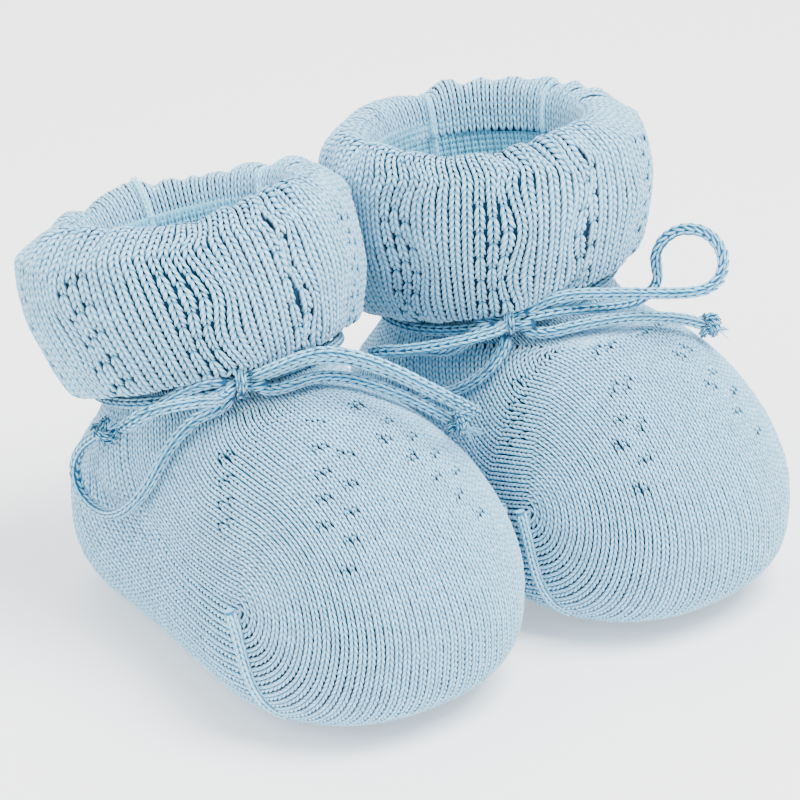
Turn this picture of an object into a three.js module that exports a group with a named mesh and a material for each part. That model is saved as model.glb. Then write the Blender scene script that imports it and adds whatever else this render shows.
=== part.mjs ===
// A pair of knitted baby booties, toes towards -Y, with the right foot at -X and the left at +X.
// Each bootie is one soft knitted sock: a foot with a short-row toe, a leg, a deep cuff turned down
// over the leg, and a cord drawn round the ankle and tied in a bow at the front.
// Millimetres, +Z up, soles on Z = 0, origin under the middle of the pair.

import * as THREE from 'three';
import { NURBSCurve } from 'three/addons/curves/NURBSCurve.js';

// ---- Driving sizes ----------------------------------------------------------------------------

const FOOT_LENGTH = 97.5; // toe tip to heel
const FOOT_WIDTH = 60.4; // widest place, across the toes
const INSTEP_HEIGHT = 51.5; // top of the vamp, where it meets the leg
const FABRIC = 2.2; // thickness of one layer of knitting
const ANKLE_RADIUS = 19.4; // outside of the leg where the cord is drawn
const LEG_RADIUS = 21.2; // outside of the leg, inside the cuff
const CUFF_EDGE_RADIUS = 25; // outside of the cuff at its lower edge
const CUFF_BULGE_RADIUS = 29.3; // outside of the cuff at its fullest
const CORD = 2.4; // cord diameter
const SEAM = 2; // diameter of the linked seam round the toe
const KNOT = [4.3, 3.1, 3.1]; // half sizes of the bow's knot: along the cord, outwards, upwards
const END_KNOT_RADIUS = 2.3; // overhand knot near the end of each tail
const PAIR_GAP = 0.8; // between the two booties where their toes are widest
const STAGGER = 4.2; // how far the right bootie stands behind the left
const CLEARANCE = 0.3; // between pieces that touch

// How each bootie's leg stands, and how its cuff was turned down. Angles are in degrees.
const RIGHT = {
  name: 'right',
  side: -1,
  legY: 13, // leg axis at its reference height
  legX: -0.8,
  leanBack: 18,
  leanSide: -2,
  ankleHeight: 47,
  edge: { back: 18, side: -2 }, // tilt of the cuff's lower edge
  rim: { back: 18, side: -2 }, // tilt of its turned rim
  cuffHeight: 25.5,
  knotAngle: -25, // round the ankle, from the front
};
const LEFT = {
  name: 'left',
  side: 1,
  legY: 11.5,
  legX: -2,
  leanBack: 7,
  leanSide: -5,
  ankleHeight: 48.8,
  edge: { back: 11, side: -8 },
  rim: { back: 8, side: -1 },
  cuffHeight: 27.5,
  knotAngle: -34,
};

// ---- Colours ----------------------------------------------------------------------------------

const cotton = (color) => new THREE.MeshStandardMaterial({ color, roughness: 0.95, metalness: 0 });
const KNIT = cotton(0xa9cfe6);
const CUFF_KNIT = cotton(0xb6d7ea);
const SEAM_YARN = cotton(0xcfe6f0);
const CORD_YARN = cotton(0x8fc0e0);

// ---- Body of the bootie: a foot and a leg, blended at the ankle --------------------------------

const TOE_Y = -0.518 * FOOT_LENGTH;
const HEEL_Y = 0.482 * FOOT_LENGTH;
const TOE_START_Y = -0.144 * FOOT_LENGTH; // the toe rounds off in front of here
const HEEL_START_Y = 0.205 * FOOT_LENGTH; // the heel rounds off behind here
const WIDEST_Z = 0.35 * INSTEP_HEIGHT;
const LEG_REFERENCE_Z = 0.777 * INSTEP_HEIGHT;
const SIDE_ROUNDNESS = 2.4;
const TOP_ROUNDNESS = 2.2;
const SOLE_ROUNDNESS = 3;
const SOLE_DIP = 0.8; // the rounded foot reaches this far below the floor, so the sole is flat
const FIELD_SCALE = 24;
const BLEND = 8; // fillet between foot and leg
const LEG_FADE_Z = 0.58 * INSTEP_HEIGHT; // below here the leg's tube shrinks away inside the foot

// Half width and top of the foot, as [place along the foot, share of the full size].
const HALF_WIDTH = [[-0.513, 1], [-0.287, 1], [-0.082, 0.911], [0.144, 0.811], [0.492, 0.778]];
const TOP = [[-0.513, 0.735], [-0.349, 0.87], [-0.226, 0.955], [-0.082, 1], [0.103, 0.985],
  [0.308, 0.85], [0.492, 0.715]];
// Leg radius, as [share of the instep's height, radius].
const LEG_PROFILE = [[0.388, ANKLE_RADIUS + 3.6], [0.738, ANKLE_RADIUS + 2.6],
  [0.913, ANKLE_RADIUS + 0.2], [1.01, ANKLE_RADIUS], [1.165, LEG_RADIUS - 0.6], [1.75, LEG_RADIUS]];

const radians = THREE.MathUtils.degToRad;

// A smooth curve through [x, value] knots, level with the end knots beyond them.
function throughKnots(knots, x) {
  const last = knots.length - 1;
  const slope = (i) => (knots[i + 1][1] - knots[i][1]) / (knots[i + 1][0] - knots[i][0]);
  const tangent = (i) => {
    if (i === 0) return slope(0);
    if (i === last) return slope(last - 1);
    const before = knots[i][0] - knots[i - 1][0];
    const after = knots[i + 1][0] - knots[i][0];
    return (slope(i - 1) * after + slope(i) * before) / (before + after);
  };
  const at = THREE.MathUtils.clamp(x, knots[0][0], knots[last][0]);
  let i = 0;
  while (i < last - 1 && at > knots[i + 1][0]) i += 1;
  const width = knots[i + 1][0] - knots[i][0];
  const t = (at - knots[i][0]) / width;
  return (2 * t ** 3 - 3 * t ** 2 + 1) * knots[i][1] + (t ** 3 - 2 * t ** 2 + t) * width * tangent(i)
    + (3 * t ** 2 - 2 * t ** 3) * knots[i + 1][1] + (t ** 3 - t ** 2) * width * tangent(i + 1);
}

// Each distance is negative inside the shape, zero on its surface and positive outside.
function footDistance(x, y, z) {
  const halfWidth = throughKnots(HALF_WIDTH, y / FOOT_LENGTH) * FOOT_WIDTH / 2;
  const top = throughKnots(TOP, y / FOOT_LENGTH) * INSTEP_HEIGHT;
  let endward = 0;
  if (y < TOE_START_Y) endward = (TOE_START_Y - y) / (TOE_START_Y - TOE_Y);
  if (y > HEEL_START_Y) endward = (y - HEEL_START_Y) / (HEEL_Y - HEEL_START_Y);
  const upper = z >= WIDEST_Z;
  const rise = upper ? (z - WIDEST_Z) / (top - WIDEST_Z) : (WIDEST_Z - z) / (WIDEST_Z + SOLE_DIP);
  const power = upper ? TOP_ROUNDNESS : SOLE_ROUNDNESS;
  const plan = ((Math.abs(x) / halfWidth) ** SIDE_ROUNDNESS + endward ** SIDE_ROUNDNESS)
    ** (1 / SIDE_ROUNDNESS);
  return ((plan ** power + rise ** power) ** (1 / power) - 1) * FIELD_SCALE;
}

function legAxisAt(boot, z) {
  return new THREE.Vector3(
    boot.legX + Math.tan(radians(boot.leanSide)) * (z - LEG_REFERENCE_Z),
    boot.legY + Math.tan(radians(boot.leanBack)) * (z - LEG_REFERENCE_Z),
    z,
  );
}

function legDistance(boot, x, y, z) {
  const axis = legAxisAt(boot, z);
  const radius = throughKnots(LEG_PROFILE, z / INSTEP_HEIGHT);
  return Math.hypot(x - axis.x, y - axis.y) - radius + Math.max(0, LEG_FADE_Z - z);
}

function bodyDistance(boot, x, y, z) {
  const foot = footDistance(x, y, z);
  const leg = legDistance(boot, x, y, z);
  const near = Math.max(BLEND - Math.abs(foot - leg), 0) / BLEND;
  return Math.max(Math.min(foot, leg) - near * near * BLEND / 4, -z);
}

// Outward direction on the body's surface.
function bodyNormal(boot, p) {
  const step = 0.02;
  const across = (dx, dy, dz) => bodyDistance(boot, p.x + dx, p.y + dy, p.z + dz)
    - bodyDistance(boot, p.x - dx, p.y - dy, p.z - dz);
  return new THREE.Vector3(across(step, 0, 0), across(0, step, 0), across(0, 0, step)).normalize();
}

// The surface point met first on the way out from a centre.
function castToSurface(boot, centre, direction) {
  const reach = 2 * FOOT_LENGTH;
  const stride = 1.5;
  const distanceAt = (r) => {
    const p = centre.clone().addScaledVector(direction, r);
    return bodyDistance(boot, p.x, p.y, p.z);
  };
  let outer = stride;
  while (distanceAt(outer) < 0 && outer < reach) outer += stride;
  let inner = outer - stride;
  for (let i = 0; i < 26; i += 1) {
    const middle = (inner + outer) / 2;
    if (distanceAt(middle) < 0) inner = middle;
    else outer = middle;
  }
  return centre.clone().addScaledVector(direction, outer);
}

// ---- Courses: the rings of knitting that the shell is made of ----------------------------------

const COLUMNS = 32; // wales modelled round each ring
const HEEL_RINGS = 10;
const INSTEP_RINGS = 5;
const TOE_RINGS = 15;
const TOE_POLE_Y = -0.267 * FOOT_LENGTH; // the toe's short rows turn about a line across the foot here
const TOE_POLE_Z = 0.495 * INSTEP_HEIGHT;
const TOE_SEAM_ANGLE = 107; // tilt of the first toe course; the last one lies half a turn on
const CREASE_STANDOFF = 7.5; // the heel's courses turn about a line this far in front of the leg
const SHELL_ABOVE_CORD = 2; // the foot's shell ends this far above the ankle cord
const HEEL_TURN_BELOW_CORD = 3.5; // the heel's courses start to turn this far below it

const X_AXIS = new THREE.Vector3(1, 0, 0);

// A ring lies in the plane of X and of a front direction tilted by `angle` from -Y towards +Z.
function frontDirection(angle) {
  return new THREE.Vector3(0, -Math.cos(radians(angle)), Math.sin(radians(angle)));
}

function castRing(boot, { centre, front, across = X_AXIS }, count, firstDegrees, stepDegrees) {
  return Array.from({ length: count }, (_, i) => {
    const turn = radians(firstDegrees + i * stepDegrees);
    const direction = front.clone().multiplyScalar(Math.cos(turn))
      .addScaledVector(across, Math.sin(turn));
    return castToSurface(boot, centre, direction);
  });
}

const lerp = (a, b, t) => a + (b - a) * t;

// Centre and front direction of each full ring, from the ankle down to the start of the toe.
function ringPlanes(boot) {
  const lean = boot.leanBack;
  const ankle = legAxisAt(boot, boot.ankleHeight);
  const up = new THREE.Vector3(0, Math.sin(radians(lean)), Math.cos(radians(lean)));
  const legFront = frontDirection(lean);
  const planes = [];
  for (const above of [SHELL_ABOVE_CORD, 0, -HEEL_TURN_BELOW_CORD]) {
    planes.push({ centre: ankle.clone().addScaledVector(up, above), front: legFront });
  }
  const turnRadius = ANKLE_RADIUS + CREASE_STANDOFF;
  const pivot = planes.at(-1).centre.clone().addScaledVector(legFront, turnRadius);
  for (let i = 1; i <= HEEL_RINGS; i += 1) {
    const front = frontDirection(lerp(lean, 90, i / HEEL_RINGS));
    const centre = pivot.clone().addScaledVector(front, -turnRadius);
    planes.push({ centre: centre.setX(lerp(pivot.x, 0, i / HEEL_RINGS)), front });
  }
  const heelEnd = planes.at(-1).centre;
  const pole = new THREE.Vector3(0, TOE_POLE_Y, TOE_POLE_Z);
  for (let i = 1; i <= INSTEP_RINGS; i += 1) {
    const t = i / INSTEP_RINGS;
    const front = frontDirection(lerp(90, TOE_SEAM_ANGLE, t));
    planes.push({ centre: heelEnd.clone().lerp(pole, t), front });
  }
  return planes;
}

// The shell: full rings, then the toe's half rings fanned about the poles at the sides of the foot.
function footShell(boot) {
  const degrees = 360 / COLUMNS;
  const planes = ringPlanes(boot);
  const outer = [];
  const rings = planes.map((plane) => castRing(boot, plane, COLUMNS, -180, degrees)
    .map((point) => outer.push(point) - 1));
  const toeStart = rings.at(-1);
  const quarter = COLUMNS / 4;
  const half = COLUMNS / 2;
  const toe = [Array.from({ length: half + 1 }, (_, c) => toeStart[quarter + c])];
  const { centre } = planes.at(-1);
  for (let i = 1; i < TOE_RINGS; i += 1) {
    const front = frontDirection(TOE_SEAM_ANGLE - 180 * i / TOE_RINGS);
    const row = castRing(boot, { centre, front }, half - 1, -90 + degrees, degrees)
      .map((point) => outer.push(point) - 1);
    toe.push([toe[0][0], ...row, toe[0][half]]);
  }
  toe.push(Array.from({ length: half + 1 }, (_, c) => toeStart[(COLUMNS + quarter - c) % COLUMNS]));

  const triangles = [];
  const addQuad = (a, b, c, d) => {
    for (const [p, q, r] of [[a, b, c], [a, c, d]]) {
      if (p !== q && q !== r && r !== p) triangles.push([p, q, r]);
    }
  };
  for (let k = 0; k + 1 < rings.length; k += 1) {
    for (let j = 0; j < COLUMNS; j += 1) {
      const next = (j + 1) % COLUMNS;
      addQuad(rings[k][j], rings[k + 1][j], rings[k + 1][next], rings[k][next]);
    }
  }
  for (let k = 0; k + 1 < toe.length; k += 1) {
    for (let c = 0; c < half; c += 1) addQuad(toe[k][c], toe[k + 1][c], toe[k + 1][c + 1], toe[k][c + 1]);
  }
  return thickened(boot, outer, triangles, rings[0], []);
}

// Closes a skin into a wall of one fabric thickness, open at its top ring and its bottom ring.
function thickened(boot, outer, triangles, topRing, bottomRing) {
  const inner = outer.map((p) => p.clone().addScaledVector(bodyNormal(boot, p), -FABRIC));
  const shift = outer.length;
  const faces = triangles.flatMap(([a, b, c]) => [[a, b, c], [a + shift, c + shift, b + shift]]);
  const edge = (ring, flip) => ring.forEach((a, j) => {
    const b = ring[(j + 1) % ring.length];
    const quad = flip ? [[a, a + shift, b + shift], [a, b + shift, b]]
      : [[a, b + shift, a + shift], [a, b, b + shift]];
    faces.push(...quad);
  });
  edge(topRing, false);
  edge(bottomRing, true);
  return closedGeometry([...outer, ...inner], faces);
}

// A geometry from points and faces, turned so that its faces point out.
function closedGeometry(points, faces) {
  const volume = faces.reduce((sum, [a, b, c]) => sum
    + points[a].dot(new THREE.Vector3().crossVectors(points[b], points[c])), 0);
  const index = volume > 0 ? faces.flat() : faces.flatMap(([a, b, c]) => [a, c, b]);
  const geometry = new THREE.BufferGeometry().setFromPoints(points);
  geometry.setIndex(index);
  geometry.computeVertexNormals();
  return geometry;
}

// ---- Leg and turned cuff -----------------------------------------------------------------------

const LEG_RINGS = 6;
const CUFF_COLUMNS = 36;
const CUFF_ABOVE_CORD = 5.2; // lower edge of the cuff above the ankle cord, along the leg
const HEM = 3.2; // the rim's fold covers the top of the leg to this depth

// Unit vectors across, forwards and up for something tilted back and sideways.
function tiltedFrame({ back, side }) {
  const up = new THREE.Vector3(Math.tan(radians(side)), Math.tan(radians(back)), 1).normalize();
  const across = X_AXIS.clone().addScaledVector(up, -up.x).normalize();
  return { up, across, front: new THREE.Vector3().crossVectors(across, up) };
}

// The point above the ankle cord by a distance along the leg.
function alongLeg(boot, above) {
  const axis = tiltedFrame({ back: boot.leanBack, side: boot.leanSide }).up;
  return legAxisAt(boot, boot.ankleHeight).addScaledVector(axis, above);
}

function legTube(boot) {
  const low = SHELL_ABOVE_CORD + CLEARANCE;
  const high = CUFF_ABOVE_CORD + boot.cuffHeight - HEM - 1.5 * CLEARANCE;
  const rim = tiltedFrame(boot.rim);
  const outer = [];
  const rings = Array.from({ length: LEG_RINGS }, (_, k) => {
    const t = k / (LEG_RINGS - 1);
    const plane = {
      centre: alongLeg(boot, lerp(low, high, t)),
      front: frontDirection(boot.leanBack).lerp(rim.front, t).normalize(),
      across: X_AXIS.clone().lerp(rim.across, t).normalize(),
    };
    return castRing(boot, plane, COLUMNS, -180, 360 / COLUMNS).map((point) => outer.push(point) - 1);
  });
  const triangles = [];
  for (let k = 0; k + 1 < LEG_RINGS; k += 1) {
    for (let j = 0; j < COLUMNS; j += 1) {
      const next = (j + 1) % COLUMNS;
      triangles.push([rings[k][j], rings[k][next], rings[k + 1][next]]);
      triangles.push([rings[k][j], rings[k + 1][next], rings[k + 1][j]]);
    }
  }
  return thickened(boot, outer, triangles, rings.at(-1), rings[0]);
}

// Cross-section of the cuff as [radius, share of its height, fixed offset in height].
function cuffSection() {
  const legSide = LEG_RADIUS + 3 * CLEARANCE;
  const mouth = LEG_RADIUS - FABRIC;
  const bulge = (share) => lerp(CUFF_EDGE_RADIUS, CUFF_BULGE_RADIUS, share);
  return [
    [legSide, 0, 0], [legSide, 0.5, 0], [legSide, 1, -HEM], [mouth, 1, -HEM], [mouth, 1, -0.4 * HEM],
    [mouth + 0.5 * FABRIC, 1, 0], [mouth + 1.9 * FABRIC, 1, 0.6], [CUFF_EDGE_RADIUS + 1.6, 1, -1.2],
    [bulge(0.85), 0.8, 0], [bulge(1), 0.6, 0], [bulge(0.9), 0.4, 0], [bulge(0.55), 0.2, 0],
    [bulge(0.18), 0.05, 0], [CUFF_EDGE_RADIUS - 0.4, 0, 0],
  ];
}

function turnedCuff(boot) {
  const low = { centre: alongLeg(boot, CUFF_ABOVE_CORD), ...tiltedFrame(boot.edge) };
  const high = { centre: alongLeg(boot, CUFF_ABOVE_CORD + boot.cuffHeight), ...tiltedFrame(boot.rim) };
  const section = cuffSection();
  const points = [];
  for (let j = 0; j < CUFF_COLUMNS; j += 1) {
    const turn = 2 * Math.PI * j / CUFF_COLUMNS;
    for (const [radius, share, offset] of section) {
      const mix = (key) => low[key].clone().lerp(high[key], share);
      points.push(mix('centre').addScaledVector(mix('up'), offset)
        .addScaledVector(mix('front').normalize(), radius * Math.cos(turn))
        .addScaledVector(mix('across').normalize(), radius * Math.sin(turn)));
    }
  }
  const faces = [];
  const n = section.length;
  for (let j = 0; j < CUFF_COLUMNS; j += 1) {
    const here = j * n;
    const there = ((j + 1) % CUFF_COLUMNS) * n;
    for (let i = 0; i < n; i += 1) {
      const next = (i + 1) % n;
      faces.push([here + i, there + i, there + next], [here + i, there + next, here + next]);
    }
  }
  return closedGeometry(points, faces);
}

// ---- Cords, knots and seams --------------------------------------------------------------------

const CORD_STEP = 1; // length of one straight piece of a cord, in cord diameters
const CORD_SIDES = 8;
const SEAM_FLOOR_GAP = 3; // the seam's ridge ends this high, where the sole lies on the floor

// A smooth curve that starts and ends on its first and last points and is drawn along by the rest.
function smoothPath(points) {
  const degree = 3;
  const spans = points.length - degree;
  const knots = Array.from({ length: points.length + degree + 1 }, (_, i) => (
    THREE.MathUtils.clamp(i - degree, 0, spans) / spans));
  return new NURBSCurve(degree, knots, points.map((p) => new THREE.Vector4(p.x, p.y, p.z, 1)));
}

function tubeAlong(points, diameter) {
  const path = smoothPath(points);
  const section = new THREE.Shape();
  for (let i = 0; i < CORD_SIDES; i += 1) {
    const turn = 2 * Math.PI * (i + 0.5) / CORD_SIDES;
    const corner = [Math.cos(turn) * diameter / 2, Math.sin(turn) * diameter / 2];
    if (i === 0) section.moveTo(...corner);
    else section.lineTo(...corner);
  }
  const steps = Math.ceil(path.getLength() / (CORD_STEP * diameter));
  return new THREE.ExtrudeGeometry(section, { steps, bevelEnabled: false, extrudePath: path });
}

// A point at a turn round the ankle from the front, standing off the fabric by `off`.
function roundAnkle(boot, degrees, off) {
  const { front, across } = tiltedFrame(boot.edge);
  const turn = radians(degrees);
  const direction = front.multiplyScalar(Math.cos(turn)).addScaledVector(across, Math.sin(turn));
  const point = castToSurface(boot, alongLeg(boot, 0), direction);
  return point.addScaledVector(bodyNormal(boot, point), off);
}

// The drawcord round the ankle, from one side of the knot to the other.
function ankleCord(boot) {
  const ringRadius = ANKLE_RADIUS + CLEARANCE + CORD / 2;
  const knotTurn = THREE.MathUtils.radToDeg((KNOT[0] + 1.5 * CLEARANCE) / ringRadius);
  const count = 24;
  const sweep = 360 - 2 * knotTurn;
  const points = Array.from({ length: count + 1 }, (_, i) => (
    roundAnkle(boot, boot.knotAngle + knotTurn + sweep * i / count, 3 * CLEARANCE + CORD / 2)));
  return tubeAlong(points, CORD);
}

function bowKnot(boot) {
  const knot = new THREE.Mesh(new THREE.SphereGeometry(1, 16, 10).scale(...KNOT), CORD_YARN);
  const { up } = tiltedFrame(boot.edge);
  knot.position.copy(roundAnkle(boot, boot.knotAngle, KNOT[1] + 1.5 * CLEARANCE));
  const out = roundAnkle(boot, boot.knotAngle, 10).sub(roundAnkle(boot, boot.knotAngle, 0)).normalize();
  const along = new THREE.Vector3().crossVectors(out, up).normalize();
  const rise = new THREE.Vector3().crossVectors(along, out).normalize();
  knot.quaternion.setFromRotationMatrix(new THREE.Matrix4().makeBasis(along, out, rise));
  return knot;
}

// Half of the toe's linked seam: a ridge from the pole at one side of the foot down to the floor.
function toeSeam(boot, side) {
  const centre = new THREE.Vector3(0, TOE_POLE_Y, TOE_POLE_Z);
  const down = frontDirection(TOE_SEAM_ANGLE - 180);
  const points = [];
  for (let degrees = 90; degrees > 0; degrees -= 6) {
    const turn = radians(side * degrees);
    const direction = down.clone().multiplyScalar(Math.cos(turn)).addScaledVector(X_AXIS, Math.sin(turn));
    const point = castToSurface(boot, centre, direction);
    if (point.z < SEAM_FLOOR_GAP + SEAM / 2) break;
    points.push(point.addScaledVector(bodyNormal(boot, point), SEAM / 2 + 1.3 * CLEARANCE));
  }
  return tubeAlong(points, SEAM);
}

// Routes of the bow's free cords, from the knot outwards, in the bootie's own frame.
const ROUTES = {
  right: {
    loop_outer: [[-16.4, -3.4, 56], [-18.8, -0.6, 54.4], [-20.8, 1.8, 52.4], [-23.8, 4.1, 49.3],
      [-28.3, 3.8, 48.6], [-31.9, 1.3, 50], [-32.9, -2.2, 52.7], [-30.8, -5.2, 55.5], [-26, -6.6, 55.6],
      [-22.6, -8, 55.8], [-19.4, -7.4, 54.6], [-16.8, -6.2, 53.4]],
    loop_inner: [[-6.6, -7.9, 56.4], [-2.4, -9.7, 58], [2, -10.8, 57.8], [6.2, -12.3, 56.8],
      [10.2, -14.6, 55], [13.4, -16.6, 53.2], [16.4, -18.2, 51.2], [19.8, -19.4, 48.7],
      [22.3, -23, 47.2], [22.5, -27.5, 47.5], [20.2, -31, 49.4], [16.5, -31.8, 52], [13.6, -28.6, 54.2],
      [11.4, -26, 55.8], [8.4, -22.4, 58], [4.8, -18.8, 59.8], [0.6, -15.8, 61.2], [-3.2, -13.2, 60.8],
      [-6.8, -10.7, 58.8]],
    tail_outer: [[-14.6, -4.8, 51], [-17.8, -2.4, 49.8], [-20.7, -0.6, 46.8], [-23.3, 0.9, 42.9],
      [-25.5, 1.8, 38.1], [-27.2, 4.2, 33.4], [-27.8, 8.5, 29.2], [-27.4, 13.8, 26.4],
      [-26.8, 19.4, 25.4], [-26.4, 24.6, 26.8], [-26.1, 26.4, 32], [-25.9, 22.2, 37.2],
      [-25.7, 18.4, 40]],
    tail_inner: [[-6.8, -8.2, 52.9], [-2.6, -9.6, 53.8], [1.6, -9.7, 53.7], [5.8, -10.9, 53],
      [9.4, -13.4, 51.8], [12.9, -16.4, 50], [17.2, -18.4, 47.4], [21.5, -20.9, 44]],
  },
  left: {
    loop_outer: [[-12.5, -10.8, 56.2], [-8.6, -13.4, 57.6], [-4.2, -16.8, 57.6], [0.4, -19.8, 57.4],
      [5, -23, 57.2], [10.9, -29.8, 57.9], [14.5, -30.2, 61.4], [15.9, -27.4, 65.5],
      [14.4, -22.8, 67.6], [11.3, -18.8, 66.3], [8.7, -17.2, 62], [11.2, -17.2, 56.2], [8.4, -16.2, 53],
      [4, -15.8, 52.6], [-1.6, -15.6, 53.6], [-6, -13.8, 54], [-10.8, -12.2, 54.2]],
    loop_inner: [[-22.1, -4.8, 51.4], [-23, -2.2, 48], [-24, 0.2, 46], [-24.9, 2.8, 45],
      [-25.6, 6.5, 44.3], [-29, 9.6, 43.8], [-33.4, 10.1, 44.7], [-36.9, 7.8, 46.7], [-37.7, 3.8, 48.7],
      [-35, -0.6, 49.6], [-32, -5, 51.2], [-28.2, -8.2, 52.4], [-24.8, -9.6, 52.8],
      [-21.4, -9.4, 52.6]],
    tail_outer: [[-13.5, -11.2, 50], [-10, -14.6, 51.6], [-6, -17, 52.4], [-1.6, -19.2, 52.8],
      [2.8, -20.6, 52.4], [7.2, -21.8, 51.4], [11.4, -22.6, 50.2], [14.8, -23.4, 48.6]],
    tail_inner: [[-18.8, -8.6, 48.4], [-21.2, -8.2, 45.4], [-23.4, -6, 42], [-25, -2.6, 39.4],
      [-26.3, 1.5, 37], [-27.3, 5.6, 34.8], [-27.8, 9.8, 32.3], [-27.8, 13.5, 30.4]],
  },
};

// ---- Assembly ----------------------------------------------------------------------------------

const mesh = (geometry, material) => new THREE.Mesh(geometry, material);

// The knitted pieces of one bootie; they set the pair's box, and the cords lie on them.
function knittedPieces(boot) {
  const [outerSide, innerSide] = [boot.side, -boot.side];
  return {
    foot_shell: mesh(footShell(boot), KNIT),
    leg_tube: mesh(legTube(boot), KNIT),
    turned_cuff: mesh(turnedCuff(boot), CUFF_KNIT),
    toe_seam_outer: mesh(toeSeam(boot, outerSide), SEAM_YARN),
    toe_seam_inner: mesh(toeSeam(boot, innerSide), SEAM_YARN),
  };
}

function cordPieces(boot) {
  const pieces = {
    ankle_cord: mesh(ankleCord(boot), CORD_YARN),
    bow_knot: bowKnot(boot),
  };
  for (const [name, route] of Object.entries(ROUTES[boot.name])) {
    const points = route.map((p) => new THREE.Vector3(...p));
    pieces[name] = mesh(tubeAlong(points, CORD), CORD_YARN);
    if (name.startsWith('tail')) {
      const end = points.at(-1);
      const onwards = end.clone().sub(points.at(-2)).normalize();
      const knot = mesh(new THREE.SphereGeometry(END_KNOT_RADIUS, 12, 8), CORD_YARN);
      knot.position.copy(end).addScaledVector(onwards, END_KNOT_RADIUS + 1.5 * CLEARANCE);
      pieces[`${name}_knot`] = knot;
    }
  }
  return pieces;
}

function bootie(boot, pieces) {
  const group = new THREE.Group();
  for (const [name, piece] of Object.entries(pieces)) {
    piece.name = `${boot.name}_${name}`;
    group.add(piece);
  }
  group.position.set(boot.side * (FOOT_WIDTH + PAIR_GAP) / 2, -boot.side * STAGGER / 2, 0);
  return group;
}

const knitted = new THREE.Group();
const cords = new THREE.Group();
for (const boot of [RIGHT, LEFT]) {
  knitted.add(bootie(boot, knittedPieces(boot)));
  cords.add(bootie(boot, cordPieces(boot)));
}
knitted.updateMatrixWorld(true);
const middle = new THREE.Box3().setFromObject(knitted, true).getCenter(new THREE.Vector3());

const group = new THREE.Group();
group.add(knitted, cords);
group.position.set(-middle.x, -middle.y, 0);

export default group;
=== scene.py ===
import math

import bpy
import numpy as np
from mathutils import Matrix, Vector


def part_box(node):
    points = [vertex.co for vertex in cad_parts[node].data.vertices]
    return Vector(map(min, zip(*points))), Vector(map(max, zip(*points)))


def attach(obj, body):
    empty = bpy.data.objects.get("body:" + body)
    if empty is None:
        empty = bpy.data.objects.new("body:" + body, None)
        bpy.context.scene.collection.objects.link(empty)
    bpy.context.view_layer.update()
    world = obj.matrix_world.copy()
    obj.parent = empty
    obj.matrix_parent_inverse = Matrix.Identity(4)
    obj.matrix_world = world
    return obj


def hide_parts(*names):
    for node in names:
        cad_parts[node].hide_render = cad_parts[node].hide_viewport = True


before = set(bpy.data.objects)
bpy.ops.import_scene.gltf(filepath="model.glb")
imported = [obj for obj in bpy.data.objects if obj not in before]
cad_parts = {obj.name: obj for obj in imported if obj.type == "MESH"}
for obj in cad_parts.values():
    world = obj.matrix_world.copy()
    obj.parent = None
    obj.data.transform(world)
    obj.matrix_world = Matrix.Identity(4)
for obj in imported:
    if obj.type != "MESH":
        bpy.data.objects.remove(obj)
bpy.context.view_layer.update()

RNG = np.random.default_rng(7)
MM = 0.001

# ---- Sizes, as in the CAD model ---------------------------------------------------------------

FOOT_LENGTH = 97.5
FOOT_WIDTH = 60.4
INSTEP_HEIGHT = 51.5
FABRIC = 2.2
ANKLE_RADIUS = 19.4
LEG_RADIUS = 21.2
CUFF_EDGE_RADIUS = 25.0
CUFF_BULGE_RADIUS = 29.3
CORD = 2.4
SEAM = 2.0
KNOT_OUT = 3.1
END_KNOT_RADIUS = 2.3
CLEARANCE = 0.3
SHELL_ABOVE_CORD = 2.0
CUFF_ABOVE_CORD = 5.2
TOE_Y = -0.518 * FOOT_LENGTH
HEEL_Y = 0.482 * FOOT_LENGTH
TOE_START_Y = -0.144 * FOOT_LENGTH
HEEL_START_Y = 0.205 * FOOT_LENGTH
WIDEST_Z = 0.35 * INSTEP_HEIGHT
LEG_REFERENCE_Z = 0.777 * INSTEP_HEIGHT
LEG_FADE_Z = 0.58 * INSTEP_HEIGHT
SIDE_ROUNDNESS, TOP_ROUNDNESS, SOLE_ROUNDNESS = 2.4, 2.2, 3.0
SOLE_DIP = 0.8
FIELD_SCALE = 24.0
BLEND = 8.0
TOE_POLE = np.array([0.0, -0.267 * FOOT_LENGTH, 0.495 * INSTEP_HEIGHT])
TOE_SEAM_ANGLE = 107.0
CREASE_STANDOFF = 7.5
HEEL_TURN_BELOW_CORD = 3.5
HALF_WIDTH = np.array([[-0.513, 1], [-0.287, 1], [-0.082, 0.911], [0.144, 0.811], [0.492, 0.778]])
TOP = np.array([[-0.513, 0.735], [-0.349, 0.87], [-0.226, 0.955], [-0.082, 1], [0.103, 0.985],
                [0.308, 0.85], [0.492, 0.715]])
LEG_PROFILE = np.array([[0.388, 23], [0.738, 22], [0.913, 19.6], [1.01, 19.4], [1.165, 20.6],
                        [1.75, 21.2]])

BOOTS = [
    dict(name="right", leg_y=13.0, leg_x=-0.8, lean=(18.0, -2.0), ankle=47.0, edge=(18.0, -2.0),
         rim=(18.0, -2.0), cuff=25.5, knot=-25.0, outside=-1),
    dict(name="left", leg_y=11.5, leg_x=-2.0, lean=(7.0, -5.0), ankle=48.8, edge=(11.0, -8.0),
         rim=(8.0, -1.0), cuff=27.5, knot=-34.0, outside=1),
]
for boot in BOOTS:
    low, high = (np.array(corner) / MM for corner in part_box(f"{boot['name']}_foot_shell"))
    boot["origin"] = np.array([(low[0] + high[0]) / 2, low[1] - TOE_Y, 0.0])

X_AXIS = np.array([1.0, 0.0, 0.0])


def unit(v):
    return v / np.maximum(np.linalg.norm(v, axis=-1, keepdims=True), 1e-9)


# ---- The body's surface ---------------------------------------------------------------------

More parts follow.
